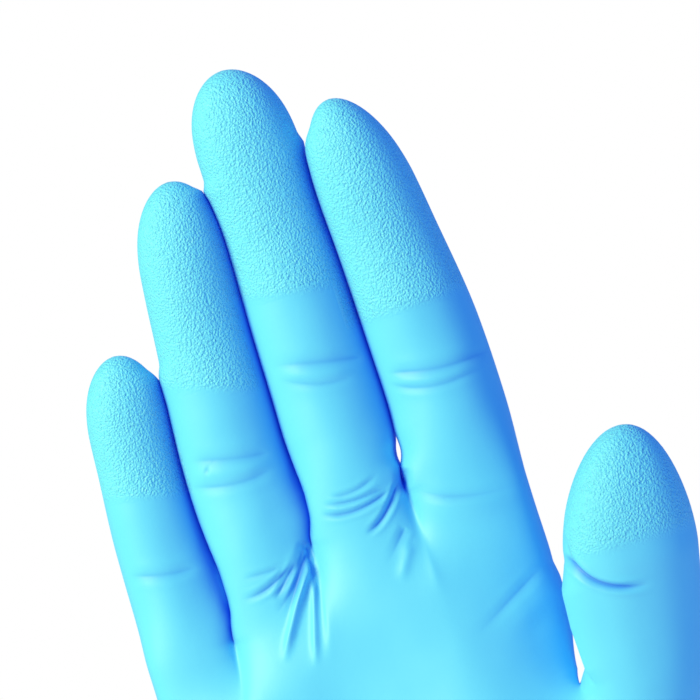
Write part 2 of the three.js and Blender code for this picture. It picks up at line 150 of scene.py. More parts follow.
# Fingers press against each other where the gap is under the reach, and fully once this share of it is
# closed, but not just above the web between the middle finger and the index. A pressed side goes over the
# contact's plane before it is held flat, a little apart from it, and eases off inwards over the depth. The
# plane's place changes with y by the tilt.
PRESS_REACH, PRESS_OVER, PRESS_APART, PRESS_DEPTH, PRESS_TILT = 2.4, 0.4, 0.02, 6, 0.06
PRESS_FULL = 0.8
# The open web's height, how far it runs up and down, and how strongly its sides are drawn apart
OPEN_WEB_Z, OPEN_WEB_HALF, OPEN_WEB_PULL = 165.9, 2.9, 0.4
# A contact is read in steps from below its web, and comes in and runs out over these lengths
CONTACT_BELOW, CONTACT_STEP, CONTACT_START, CONTACT_END, BOW_START = 2.5, 0.5, 1.5, 3, 6
# How far a contact's shade fades out over the flank on its left and on its right
GROOVE_LEFT, GROOVE_RIGHT = 1.5, 0.35
# The bulges over the next finger: how far over, at what height and how tall, and the y over which they fade
BOWS, BOW_REACH = table("over z tall", (1.5, 153, 9), (1.3, 161.5, 8), (0, 165, 8)), 3

# The thumb and the palm's edge press together above their web. The columns are those of finger_contact.
THUMB_CONTACT = table(
    "height low high bow depth share",
    (117, 36.6, 37.4, 0, 0, 0), (120, 35.2, 36.4, 0, 0, 1), (128, 34.3, 36.6, 0, 0, 1),
    (134, 34.7, 37.0, 0, 0, 1), (139.5, 35, 37, 0, 0, 0),
)


def ease(v):
    """0 up to 0, 1 from 1 on, and 3v^2 - 2v^3 between."""
    v = np.clip(v, 0.0, 1.0)
    return v * v * (3 - 2 * v)


def mix(a, b, t):
    """The value a share t of the way from a to b."""
    return a + (b - a) * t


def spread(a, b, n):
    """n values from a towards b, which is left out."""
    return mix(a, b, np.arange(n) / n)


def read(rows, place, column, at):
    """A table's column at a place: a cubic through its rows, with the slopes between each row's two
    neighbours."""
    x, y = rows[place], rows[column]
    number = np.arange(len(x))
    low, high = np.maximum(number - 1, 0), np.minimum(number + 1, len(x) - 1)
    slopes = (y[high] - y[low]) / (x[high] - x[low])
    k = np.clip(np.searchsorted(x, at, side="right") - 1, 0, len(x) - 2)
    span = x[k + 1] - x[k]
    t = np.clip((at - x[k]) / span, 0.0, 1.0)
    return (
        (2 * t**3 - 3 * t**2 + 1) * y[k] + (t**3 - 2 * t**2 + t) * span * slopes[k]
        + (3 * t**2 - 2 * t**3) * y[k + 1] + (t**3 - t**2) * span * slopes[k + 1]
    )


def section(angle, power=SECTION_POWER):
    """A unit section fuller than a circle: the cosine and sine raised to 2 / power, signs kept."""
    c, s = np.cos(angle), np.sin(angle)
    return np.sign(c) * np.abs(c) ** (2 / power), np.sign(s) * np.abs(s) ** (2 / power)


def dome_share(below, dome):
    """The share of its full section that a tube keeps, a distance below a round end's top."""
    return np.sqrt(1 - np.clip(1 - below / dome, 0, 1) ** 2)


def rows_with_dome(rows, dome):
    """Rows up to the dome's foot, then rows over it at even angles, as shares of the whole length."""
    return np.concatenate([rows * (1 - dome), 1 - dome * (1 - np.sin(spread(0, math.pi / 2, DOME_STEPS)))])


WEB_Z = CUFF_LENGTH + PALM_LENGTH * WEB_HEIGHTS
TOP = WEB_Z.mean()
PITCH = FINGERS["breadth"] + FINGER_GAP
EDGES = MIDDLE_OFFSET - PITCH[MIDDLE] / 2 - PITCH[:MIDDLE].sum() + np.concatenate([[0], np.cumsum(PITCH)])
ROOT_X, ROOT_Z = (EDGES[:-1] + EDGES[1:]) / 2, (WEB_Z[:-1] + WEB_Z[1:]) / 2
PALM_BREADTH, PALM_MIDDLE = EDGES[-1] - EDGES[0], (EDGES[0] + EDGES[-1]) / 2
SETS = FINGERS["set"]
WEB_SETS = np.concatenate([SETS[:1], (SETS[:-1] + SETS[1:]) / 2, SETS[-1:]])
FINGER_ANGLES = np.concatenate([
    spread(math.pi + FINGER_SIDE, 2 * math.pi - FINGER_SIDE, FRONT),
    spread(-FINGER_SIDE, FINGER_SIDE, SIDE),
    spread(FINGER_SIDE, math.pi - FINGER_SIDE, BACK),
    spread(math.pi - FINGER_SIDE, math.pi + FINGER_SIDE, SIDE),
])


def web_points(k):
    """A web's line from front to back at the edge between two fingers. It drops with the square of its
    way."""
    t = np.linspace(0, 1, SIDE + 1)
    y = WEB_SETS[k] + mix(-WEB_HALF_DEPTH, WEB_HALF_DEPTH, t)
    x = np.full_like(t, EDGES[k] + WEB_SHIFTS[k] * FINGER_BREADTH)
    return np.stack([x, y, WEB_Z[k] - WEB_BACK_DROP * t * t], -1)


def root_points(i, side, n):
    """The inner points of a finger's root line, front (-1) or back (1): an arch from web to web that stands
    out to just over half the finger's depth and dips between the webs."""
    end = 0 if side < 0 else -1
    a, b = web_points(i)[end], web_points(i + 1)[end]
    t = np.arange(1, n) / n
    arch = np.sin(math.pi * t) ** ARCH_POWER
    crest = FINGERS["depth"][i] * ROOT_CREST - WEB_HALF_DEPTH
    x = mix(a[0], b[0], (1 - np.cos(math.pi * t)) / 2)
    return np.stack([x, mix(a[1], b[1], t) + side * crest * arch, mix(a[2], b[2], t) - ROOT_DIP * arch], -1)


def finger_points(i, up, angle):
    """A finger's skin at shares of its length and angles round it: the section times the finger's half sizes,
    closing over the dome, leaning towards the thumb and curling forward with the square of the way up."""
    f = {name: values[i] for name, values in FINGERS.items()}
    closing = dome_share((1 - up) * f["length"], f["round"] * f["breadth"])
    taper = 1 - (1 - f["taper"]) * ease((up - TAPER_START) / (1 - TAPER_START))
    lean = f["lean"] * np.clip((up - LEAN_START) / (1 - LEAN_START), 0, 1) ** LEAN_POWER
    cx, cy = section(angle, FINGER_POWER)
    x = ROOT_X[i] + lean + f["breadth"] / 2 * read(FINGER_SECTIONS, "at", "across", up) * taper * closing * cx
    y = f["set"] - f["curl"] * up**2 + f["depth"] / 2 * read(FINGER_SECTIONS, "at", "deep", up) * closing * cy
    return np.stack(np.broadcast_arrays(x, y, ROOT_Z[i] + f["length"] * up), -1)


def palm_points(height, angle):
    """The cuff's and palm's skin: half sizes read from the table at a height, times the section, turned a
    little towards the web line, with the swellings' bell curves standing out of its front."""
    base = np.array([[CUFF_BREADTH, CUFF_DEPTH, 0], [WRIST_BREADTH, WRIST_DEPTH, 0],
                     [PALM_BREADTH, PALM_DEPTH, PALM_MIDDLE]])[PALM_SECTIONS["follows"].astype(int)]
    rows = {
        "height": PALM_SECTIONS["height"],
        "low": base[:, 2] - base[:, 0] / 2 * PALM_SECTIONS["ulnar"],
        "high": base[:, 2] + base[:, 0] / 2 * PALM_SECTIONS["radial"],
        "front": base[:, 1] / 2 * PALM_SECTIONS["front"],
        "back": base[:, 1] / 2 * PALM_SECTIONS["back"],
    }
    z = np.where(height < 1, CUFF_LENGTH * height, mix(CUFF_LENGTH, TOP, height - 1))
    cx, cy = section(angle)
    x = mix(read(rows, "height", "low", height), read(rows, "height", "high", height), (cx + 1) / 2)
    deep = np.where(cy < 0, read(rows, "height", "front", height), read(rows, "height", "back", height))
    turn = (WEB_SETS[-1] - WEB_SETS[0]) * ease(height - 1)
    y = WEB_SETS[MIDDLE] * ease(z / TOP) + turn * (x - PALM_MIDDLE) / PALM_BREADTH + deep * cy
    for across, up, wide, tall, forward in zip(*SWELLINGS.values()):
        u = (x - PALM_MIDDLE - across * PALM_BREADTH) / (wide * PALM_BREADTH)
        v = (z - CUFF_LENGTH - up * PALM_LENGTH) / (tall * PALM_LENGTH)
        y = y - forward * PALM_DEPTH * np.exp(-u * u - v * v) * ease(-cy)
    return np.stack(np.broadcast_arrays(x, y, z), -1)


def thumb_centre(at):
    """The thumb's middle line at shares of its length."""
    return np.stack([
        PALM_MIDDLE + PALM_BREADTH * read(THUMB_LINE, "at", "side", at),
        -PALM_BREADTH * read(THUMB_LINE, "at", "forward", at),
        CUFF_LENGTH + PALM_LENGTH * read(THUMB_LINE, "at", "up", at),
    ], -1)


def unit(v):
    """Directions: each vector over its length."""
    return v / np.linalg.norm(v, axis=-1, keepdims=True)


def thumb_along(at):
    """The thumb's direction: the step between two near points of its middle line."""
    return unit(thumb_centre(np.minimum(1, at + 0.02)) - thumb_centre(np.maximum(0, at - 0.02)))


THUMB_LENGTH = np.linalg.norm(np.diff(thumb_centre(THUMB_LINE["at"]), axis=0), axis=1).sum()


def thumb_points(at, angle):
    """The thumb's skin: sections square to its middle line, closing over the dome."""
    along = thumb_along(at)
    side = unit(np.array([1.0, 0, 0]) - along * along[..., :1])
    back = np.cross(along, side)
    closing = dome_share((1 - at) * THUMB_LENGTH, THUMB_DOME)
    cx, cy = section(angle)
    across = THUMB_BREADTH / 2 * read(THUMB_LINE, "at", "across", at) * closing * cx
    deep = THUMB_DEPTH / 2 * read(THUMB_LINE, "at", "deep", at) * closing * cy
    return thumb_centre(at) + side * across[..., None] + back * deep[..., None]


class Skin:
    """Points gathered grid by grid, and the quads and triangles between them."""

    def __init__(self):
        self.points = np.empty((0, 3))
        self.quads, self.triangles = [], []

    def add(self, points):
        """Adds a grid of points and gives their numbers in the same grid."""
        points = np.asarray(points, float)
        numbers = len(self.points) + np.arange(points.size // 3).reshape(points.shape[:-1])
        self.points = np.concatenate([self.points, points.reshape(-1, 3)])
        return numbers

    def bands(self, rings, keep=None):
        """Quads between neighbouring rings, each ring closed on itself."""
        low, high = rings[:-1], rings[1:]
        quads = np.stack([low, np.roll(low, -1, 1), np.roll(high, -1, 1), high], -1)
        self.quads.append(quads.reshape(-1, 4) if keep is None else quads[keep])

    def cap(self, ring, point):
        """Triangles from a ring to one point."""
        pole = np.full(len(ring), self.add([point])[0])
        self.triangles.append(np.stack([ring, np.roll(ring, -1), pole], -1))

    def drop_loose(self):
        """Leaves out the points that no face uses."""
        used = np.unique(np.concatenate([f.ravel() for f in self.quads + self.triangles]))
        number = np.full(len(self.points), -1)
        number[used] = np.arange(len(used))
        self.points = self.points[used]
        self.quads = [number[q] for q in self.quads]
        self.triangles = [number[t] for t in self.triangles]

    def smooth(self, weights, rounds):
        """In each round a point moves its weight's share of the way to the middle of its neighbours."""
        corners = [np.concatenate(self.quads), np.concatenate(self.triangles)]
        edges = np.concatenate([np.stack([f, np.roll(f, -1, 1)], -1).reshape(-1, 2) for f in corners])
        edges = np.unique(np.sort(edges, 1), axis=0)
        ends = np.concatenate([edges, edges[:, ::-1]])
        count = np.bincount(ends[:, 0], minlength=len(self.points))[:, None]
        for _ in range(rounds):
            sums = np.stack([
                np.bincount(ends[:, 0], self.points[ends[:, 1], k], len(self.points)) for k in range(3)
            ], -1)
            self.points = mix(self.points, sums / count, weights[:, None])


def reach_of(rings, side):
    """How far left (-1) or right (1) each ring of a finger reaches, and at what height."""
    furthest = rings[np.arange(len(rings)), (side * rings[..., 0]).argmax(1)]
    return furthest[:, 2], furthest[:, 0]


def finger_contact(i, left, right):
    """Where finger i presses the next: heights, the x of its right side and of the next one's left side, how
    far it bulges over the next one in front of a depth, that depth, and the share pressed, which grows as the
    gap gets less than PRESS_REACH. At the open web the share falls below zero, which draws the sides
    apart."""
    top = min(left[..., 2].max(), right[..., 2].max())
    heights = np.arange(WEB_Z[i + 1] - CONTACT_BELOW, top, CONTACT_STEP)
    low, high = np.interp(heights, *reach_of(left, 1)), np.interp(heights, *reach_of(right, -1))
    share = ease((PRESS_REACH - high + low) / (PRESS_REACH * PRESS_FULL))
    share *= ease((heights - heights[0]) / CONTACT_START)
    share *= ease((heights[-1] - heights) / CONTACT_END)
    if i == MIDDLE:
        share -= (share + OPEN_WEB_PULL) * np.exp(-(((heights - OPEN_WEB_Z) / OPEN_WEB_HALF) ** 2))
    bow = BOWS["over"][i] * np.exp(-(((heights - BOWS["z"][i]) / BOWS["tall"][i]) ** 2))
    depth = np.full_like(heights, WEB_SETS[i + 1])
    return heights, low, high, bow * ease((heights - heights[0]) / BOW_START), depth, share


def build_skin():
    """The whole skin, in the solid's order: webs and root lines, fingers, palm rings with a hole, thumb. Also
    the contacts between the fingers."""
    skin, tubes = Skin(), []
    webs = [skin.add(web_points(k)) for k in range(5)]
    fronts = [
        np.concatenate([webs[i][:1], skin.add(root_points(i, -1, FRONT)), webs[i + 1][:1]]) for i in range(4)
    ]
    backs = [
        np.concatenate([webs[i][-1:], skin.add(root_points(i, 1, BACK)), webs[i + 1][-1:]]) for i in range(4)
    ]

    domes = FINGERS["round"] * FINGERS["breadth"] / FINGERS["length"]
    ups = [rows_with_dome(FINGER_ROWS, dome)[:, None] for dome in domes]
    for i, up in enumerate(ups):
        p = finger_points(i, up, FINGER_ANGLES)
        root = np.concatenate([fronts[i][:-1], webs[i + 1][:-1], backs[i][:0:-1], webs[i][:0:-1]])
        foot = skin.points[root]
        p[..., :2] = mix(foot[:, :2], p[..., :2], ease(up / FINGER_LEAVES_ROOT)[..., None])
        p[..., 2] += (foot[:, 2] - ROOT_Z[i]) * (1 - ease(up / FINGER_LEVELS_OUT))
        rings = np.concatenate([root[None], skin.add(p)])
        tubes.append(p)
        skin.bands(rings)
        skin.cap(rings[-1], finger_points(i, np.array(1.0), np.array(0.0)))

    top = np.concatenate([
        *(f[:-1] for f in fronts), webs[4][:-1], *(b[:0:-1] for b in backs[::-1]), webs[0][:0:-1],
    ])
    back_start = FRONT * 4 + SIDE
    side = spread(-PALM_SIDE, PALM_SIDE, SIDE)
    across = 2 * (skin.points[top, 0] - PALM_MIDDLE) / PALM_BREADTH
    angle = np.arccos(np.clip(across, -1, 1) * math.cos(PALM_SIDE))
    angles = np.concatenate([
        2 * math.pi - angle[:FRONT * 4], side, angle[back_start:back_start + BACK * 4], math.pi + side,
    ])
    height = PALM_ROWS[:, None]
    p = palm_points(height, angles)
    starts = PALM_JOIN_START, PALM_RISE_START, PALM_DEEP_JOIN_START
    sideways, rise, inwards = (ease((height - start) / (2 - start)) for start in starts)
    p[..., 0] = mix(p[..., 0], skin.points[top, 0], sideways)
    p[..., 2] += (skin.points[top, 2] - TOP) * rise
    # The rows have left their own heights, so their y is read again at the heights they now lie at.
    true_height = 1 + (p[..., 2] - CUFF_LENGTH) / (TOP - CUFF_LENGTH)
    true_height = np.where(height < PALM_RISE_START, height, true_height)
    p[..., 1] = mix(palm_points(true_height, angles)[..., 1], skin.points[top, 1], inwards)
    rings = np.concatenate([skin.add(p), top[None]])

    low, high = (int(np.argmin(np.abs(PALM_ROWS - h))) for h in THUMB_HOLE)
    rows, columns = np.arange(low, high), np.arange(FRONT * 4 - HOLE_FRONT, back_start + HOLE_BACK)
    keep = np.ones((len(rings) - 1, len(top)), bool)
    keep[np.ix_(rows, columns)] = False
    skin.bands(rings, keep)

    root = np.concatenate([
        rings[low, columns], rings[rows, columns[-1] + 1], rings[high, columns[::-1] + 1],
        rings[rows[::-1] + 1, columns[0]],
    ])
    quarters = enumerate([len(columns), len(rows)] * 2)
    angles = np.concatenate([
        spread(math.pi / 2 * (q - 0.5), math.pi / 2 * (q + 0.5), n) for q, n in quarters
    ])
    foot, first = skin.points[root], thumb_points(np.zeros(1), angles)
    reach = np.linalg.norm(first - foot, axis=1, keepdims=True) * THUMB_HANDLES
    leave, arrive = foot + unit(THUMB_LEAVES) * reach, first - thumb_along(np.zeros(1)) * reach
    t = (np.arange(1, THUMB_ROOT_STEPS + 1) / THUMB_ROOT_STEPS)[:, None, None]
    curve = (1 - t) ** 3 * foot + 3 * (1 - t) ** 2 * t * leave + 3 * (1 - t) * t**2 * arrive + t**3 * first
    at = rows_with_dome(THUMB_ROWS, THUMB_DOME / THUMB_LENGTH)[:, None]
    rings = np.concatenate([root[None], skin.add(curve), skin.add(thumb_points(at, angles))])
    skin.bands(rings)
    skin.cap(rings[-1], thumb_points(np.ones(1), np.zeros(1))[0])

    skin.drop_loose()
    away = np.linalg.norm(skin.points - foot.mean(0), axis=1) / (PALM_BREADTH * SMOOTH_REACH)
    skin.smooth(SMOOTH_SHARE * ease(1.5 * (1 - away)), SMOOTH_ROUNDS)
    return skin, [finger_contact(i, *tubes[i:i + 2]) for i in range(3)]


def subdivided(points, quads, triangles):
    """A skin's points, faces and normals after one level of Catmull-Clark subdivision."""
    mesh = bpy.data.meshes.new("cage")
    mesh.from_pydata(points, [], [*map(tuple, quads), *map(tuple, triangles)])
    cage = bpy.data.objects.new("cage", mesh)
    bpy.context.scene.collection.objects.link(cage)
    modifier = cage.modifiers.new("smooth", "SUBSURF")
    modifier.levels = modifier.render_levels = 1
    smooth = cage.evaluated_get(bpy.context.evaluated_depsgraph_get()).to_mesh()
    count = len(smooth.vertices)
    places, normals = np.empty(count * 3), np.empty(count * 3)
    corners = np.empty(len(smooth.polygons) * 4, int)
    smooth.vertices.foreach_get("co", places)
    smooth.loops.foreach_get("vertex_index", corners)
    smooth.vertices.foreach_get("normal", normals)
    cage.to_mesh_clear()
    bpy.data.objects.remove(cage)
    bpy.data.meshes.remove(mesh)
    return places.reshape(-1, 3), corners.reshape(-1, 4), normals.reshape(-1, 3)


# Creases and folds of the film on the palm's side, in millimetres: x and z of both ends and of the middle,
# which the line passes through, the width and depth, and the shares of the length over which each end runs
# out. A fold that stands out has a depth below zero.
FOLDS = table(
    "x0 z0 x1 z1 x2 z2 width depth fade0 fade1",
    # web between middle and index: fans out to the left, then the pocket and the ridge below it
    (0.6, 162.4, 5.1, 161.9, 10.4, 163.8, 0.36, 0.24, 0.3, 0.3),
    (-1.0, 161.3, 5.0, 160.3, 11.3, 161.2, 0.36, 0.32, 0.3, 0.2),
    (-1.9, 159.9, 4.4, 158.5, 12.3, 160.8, 0.4, 0.45, 0.3, 0.2),
    (4.6, 154.2, 8.7, 156.0, 13.2, 161.3, 0.42, 0.6, 0.4, 0.1),
    (14.9, 163.5, 14.3, 161.6, 13.6, 158.2, 0.8, 0.35, 0.3, 0.4),
    (12.0, 153.1, 10.6, 151.7, 6.6, 147.3, 0.6, 0.3, 0.4, 0.6),
    (12.2, 150.8, 10.2, 147.3, 8.0, 143.8, 1.0, -0.35, 0.3, 0.4),
    # web between ring and middle: the same fan, then two long pleats that run down the palm
    (-18.5, 152.8, -14.4, 152.6, -10.1, 152.7, 0.4, 0.2, 0.4, 0.3),
    (-19.8, 149.4, -15.0, 149.7, -9.5, 152.5, 0.45, 0.45, 0.5, 0.2),
    (-14.1, 147.2, -12.0, 149.4, -8.2, 153.0, 0.45, 0.5, 0.5, 0.2),
    (-14.5, 145.3, -10.9, 148.0, -6.0, 154.1, 0.6, 0.3, 0.5, 0.2),
    (-13.4, 143.2, -9.3, 149.0, -5.8, 154.1, 0.4, 0.5, 0.5, 0.1),
    (-15.9, 136.0, -9.5, 147.2, -6.3, 153.0, 0.75, -0.95, 0.2, 0.4),
    (-5.5, 155.1, -6.0, 151.5, -7.0, 145.8, 0.35, 0.5, 0.1, 0.5),
    (-10.6, 133.5, -7.4, 145.0, -6.3, 150.5, 0.7, -0.65, 0.2, 0.4),
    (-5.7, 155.9, -7.8, 152.8, -10.4, 150.3, 0.7, 0.4, 0.1, 0.6),
    # little finger's root
    (-21.8, 152.5, -22.2, 148.8, -23.2, 145.4, 0.8, 0.15, 0.4, 0.4),
    # index's root, ball of the thumb
    (15.5, 159.1, 23.3, 155.5, 34.5, 154.6, 0.7, 0.22, 0.4, 0.6),
    (14.6, 157.6, 22.8, 153.6, 33.9, 152.2, 2.4, -0.45, 0.4, 0.6),
    (34.2, 140.0, 26.7, 135.9, 17.5, 130.8, 0.7, 0.22, 0.4, 0.5),
    (35.0, 137.3, 28.6, 133.2, 19.5, 128.0, 2.6, -0.5, 0.4, 0.5),
    # dimple on the ring finger
    (-19.3, 173.3, -18.8, 172.9, -18.3, 172.6, 0.7, 0.16, 0.4, 0.4),
    # middle joints of the index, middle, ring and little fingers: two creases and a soft roll between
    (16.2, 180.5, 26.2, 178.4, 35.9, 179.0, 0.8, 0.3, 0.2, 0.2),
    (15.8, 179.2, 23.5, 175.7, 34.8, 176.7, 0.55, 0.22, 0.3, 0.3),
    (16.0, 179.8, 24.9, 177.0, 35.3, 177.8, 1.6, -0.16, 0.3, 0.3),
    (-3.1, 187.6, 6.0, 185.5, 14.1, 184.2, 0.9, 0.28, 0.4, 0.1),
    (-2.5, 185.2, 4.5, 181.9, 11.7, 181.5, 0.55, 0.2, 0.4, 0.4),
    (-2.8, 186.4, 5.2, 183.7, 12.4, 182.9, 1.6, -0.2, 0.3, 0.3),
    (-22.0, 175.7, -14.1, 173.7, -6.3, 172.7, 0.9, 0.24, 0.3, 0.2),
    (-23.8, 171.4, -14.9, 169.3, -6.6, 170.1, 0.75, 0.24, 0.3, 0.3),
    (-22.6, 173.6, -14.5, 171.5, -7.0, 171.4, 1.6, -0.18, 0.3, 0.3),
    (-38.3, 159.3, -31.6, 157.4, -24.3, 157.0, 0.8, 0.24, 0.3, 0.3),
    # thumb's joint
    (37.2, 141.2, 41.5, 134.3, 50.5, 131.8, 0.45, 0.8, 0.15, 0.3),
)

# Lower edge of the grain on each finger, palm side: x and z at the little finger's side and the thumb's
GRAIN_EDGES = table(
    "x0 z0 x1 z1",
    (-39, 173.5, -23, 170), (-22.6, 189.7, -4, 183.6), (-4.5, 200, 15.5, 197.6), (15.5, 190, 35.5, 191),
)
THUMB_GRAIN_Z = 140
# Heights over which the grain comes in on a finger and on the thumb
GRAIN_SOFT, THUMB_GRAIN_SOFT = 2.5, 3

# A groove's rounded bottom and the lips beside it: their height as a share of its depth, and how many widths
# away they lie. Then its shade: strength, fall over a width, and the most it comes to.
CREASE_ROUND, LIP_HEIGHT, LIP_AT = 0.15, 0.3, 2.2
FOLD_SHADE, SHADE_FALL, SHADE_MOST = 1.1, 1.5, 0.7
# Folds come in as the skin turns to the palm's front: the normal's y where they start, and over how much
# of it
FACING_START, FACING_RUN = 0.15, 0.4

# Faces are split on the front above a height, and again within these distances of a fold narrower than
# NARROW_FOLD. Distances past FOLD_NEAR aren't worked out and are taken as FAR.
FRONT_NORMAL, FRONT_FROM_Z = 0.1, 112
SPLIT_NEAR, NARROW_FOLD, FOLD_NEAR, FAR = (1.9, 0.8), 1.5, 6, 99.0

# The rolled rim's rings lie at these angles of its circle, from the outer skin round to the inner one.
BEAD_ANGLES, BEAD_STEPS = (0.75, -3.6), 12


def fold_distance(x, z, fold):
    """Distance of points from a fold's line, a quadratic curve through its middle, and the share of its way
    at the nearest place."""
    start, middle, end = (np.array([fold[f"x{k}"], fold[f"z{k}"]]) for k in range(3))
    bend = 2 * middle - (start + end) / 2
    t = np.linspace(0, 1, 25)[:, None]
    line = (1 - t) ** 2 * start + 2 * (1 - t) * t * bend + t**2 * end
    points = np.stack([x, z], -1)[:, None]
    step = np.diff(line, axis=0)
    along = np.clip(((points - line[:-1]) * step).sum(-1) / (step**2).sum(-1), 0, 1)
    away = np.linalg.norm(points - line[:-1] - along[..., None] * step, axis=-1)
    near = away.argmin(1)
    rows = np.arange(len(points))
    return away[rows, near], (near + along[rows, near]) / len(step)


def folds():
    """The rows of FOLDS, each as a dict."""
    return [dict(zip(FOLDS, row)) for row in zip(*FOLDS.values())]


def fold_relief(points, normals):
    """How far the film stands out, and the shade at each point, which is deepest in a groove's bottom. A
    groove rises as exp(-r / width) from a rounded bottom, with a soft lip to both sides, and a raised fold is
    a bell curve. Folds count on the side that faces the palm's front."""
    relief, shade = np.zeros(len(points)), np.zeros(len(points))
    facing = ease((FACING_START - normals[:, 1]) / FACING_RUN)
    for fold in folds():
        reach = 5 * fold["width"] + 1
        xs, zs = [fold[f"x{k}"] for k in range(3)], [fold[f"z{k}"] for k in range(3)]
        near = (facing > 0) & (points[:, 0] > min(xs) - reach) & (points[:, 0] < max(xs) + reach)
        near &= (points[:, 2] > min(zs) - reach) & (points[:, 2] < max(zs) + reach)
        away, t = fold_distance(points[near, 0], points[near, 2], fold)
        d = (np.hypot(away, CREASE_ROUND) - CREASE_ROUND) / fold["width"]
        groove = -np.exp(-d) + LIP_HEIGHT * np.exp(-(d - LIP_AT) ** 2)
        shape = groove if fold["depth"] > 0 else -np.exp(-((away / fold["width"]) ** 2))
        share = fold["depth"] * ease(t / fold["fade0"]) * ease((1 - t) / fold["fade1"])
        relief[near] += shape * share
        shade[near] += FOLD_SHADE * np.maximum(share, 0) * np.exp(-SHADE_FALL * d)
    return relief * facing, np.minimum(shade * facing, SHADE_MOST)


def fold_nearness(points, normals):
    """Each point's distance from the nearest narrow fold, or FAR where the skin faces away from the palm's
    front."""
    nearest = np.full(len(points), FAR)
    for fold in (f for f in folds() if f["width"] < NARROW_FOLD):
        xs, zs = [fold[f"x{k}"] for k in range(3)], [fold[f"z{k}"] for k in range(3)]
        near = (points[:, 0] > min(xs) - FOLD_NEAR) & (points[:, 0] < max(xs) + FOLD_NEAR)
        near &= (points[:, 2] > min(zs) - FOLD_NEAR) & (points[:, 2] < max(zs) + FOLD_NEAR)
        near &= normals[:, 1] < FRONT_NORMAL
        away, _ = fold_distance(points[near, 0], points[near, 2], fold)
        nearest[near] = np.minimum(nearest[near], away)
    return nearest


def on_front(points, normals):
    """Whether points lie on the palm's side, above its lower part."""
    return (normals[:, 1] < FRONT_NORMAL) & (points[:, 2] > FRONT_FROM_Z)


def near_fold(reach):
    """A test of whether points lie within a reach of a narrow fold."""
    return lambda points, normals: fold_nearness(points, normals) < reach


def refined(points, normals, quads, tests):
    """Splits the quads that pass each test in four, on the curved surface that the normals tell of. Quads
    beside split ones take the new points into their edges, so the skin stays closed."""
    middles = {}
    for wanted in tests:
        split = wanted(points[quads].mean(1), normals[quads].mean(1))
        cut, kept = quads[split], quads[~split]
        pairs, number = np.unique(
            np.sort(np.stack([cut, np.roll(cut, -1, 1)], -1), -1).reshape(-1, 2), axis=0, return_inverse=True)
        number = number.reshape(cut.shape)
        a, b = pairs.T
        bulge = ((points[b] - points[a]) * (normals[b] - normals[a])).sum(1)[:, None] / 8
        turned = unit(normals[a] + normals[b])
        known = np.array([middles.get(pair, -1) for pair in map(tuple, pairs.tolist())])
        new = known < 0
        known[new] = len(points) + np.arange(new.sum())
        middles.update(zip(map(tuple, pairs.tolist()), known.tolist()))
        centre = len(points) + new.sum() + np.arange(len(cut))
        centre_turned = unit(normals[cut].sum(1))
        centre_points = points[cut].mean(1) + centre_turned * bulge[number, 0].sum(1)[:, None] / 2
        points = np.concatenate([points, ((points[a] + points[b]) / 2 + turned * bulge)[new], centre_points])
        normals = np.concatenate([normals, turned[new], centre_turned])
        middle = known[number]
        quarters = [np.stack([cut[:, k], middle[:, k], centre, middle[:, k - 1]], -1) for k in range(4)]
        quads = np.concatenate([kept, *quarters])

    def edge(a, b):
        """The corners from a up to b, which is left out, with the new ones between them."""
        between = middles.get((a, b) if a < b else (b, a))
        return [a] if between is None else edge(a, between) + edge(between, b)

    faces = [sum((edge(q[k], q[(k + 1) % 4]) for k in range(4)), []) for q in quads.tolist()]
    return points, normals, faces


def contact_at(points, contact):
    """A contact's left and right sides at points, the plane between them, which is tilted a little and moved
    by the bulge at the front, the bulge and the share pressed."""
    heights, *columns = contact
    low, high, bow, depth, share = (np.interp(points[:, 2], heights, column) for column in columns)
    low, high = (edge + PRESS_TILT * points[:, 1] for edge in (low, high))
    bow = bow * ease((depth + BOW_REACH - points[:, 1]) / (2 * BOW_REACH))
    return low, high, (low + high) / 2 + bow, bow, share


def pressed(points, contacts):
    """Neighbours touch. Each side moves to the contact's plane and PRESS_OVER further, easing off inwards
    over PRESS_DEPTH, and is held flat at the plane."""
    points = points.copy()
    for contact in contacts:
        x = points[:, 0].copy()
        low, high, plane, bow, share = contact_at(points, contact)
        for side, edge, on in ((1, low, x < plane - bow), (-1, high, x >= plane - bow)):
            push = (np.maximum(side * (plane - edge), 0) + PRESS_OVER) * share
            moved = side * x + push * (1 - ease(side * (edge - x) / PRESS_DEPTH))
            held = np.minimum(moved, np.maximum(side * plane - PRESS_APART, side * x - 2 * np.abs(bow)))
            points[:, 0] = np.where(on & (share != 0), side * held, points[:, 0])
    return points


def contact_shade(points, contacts):
    """How strongly the groove where two neighbours touch is painted in shade: 1 at the contact, fading over
    GROOVE_LEFT on the left one's flank and GROOVE_RIGHT on the right one's."""
    shade = np.zeros(len(points))
    for contact in contacts:
        *_, plane, _, share = contact_at(points, contact)
        away = points[:, 0] - plane
        reach = np.where(away < 0, GROOVE_LEFT, GROOVE_RIGHT)
        shade = np.maximum(shade, np.clip(share, 0, 1) * np.exp(-np.abs(away) / reach))
    return shade


def rim_of(points):
    """The points of the open end, in order round it."""
    rim = np.nonzero(points[:, 2] < points[:, 2].min() + 0.01)[0]
    return rim[np.argsort(np.arctan2(points[rim, 1], points[rim, 0]))]


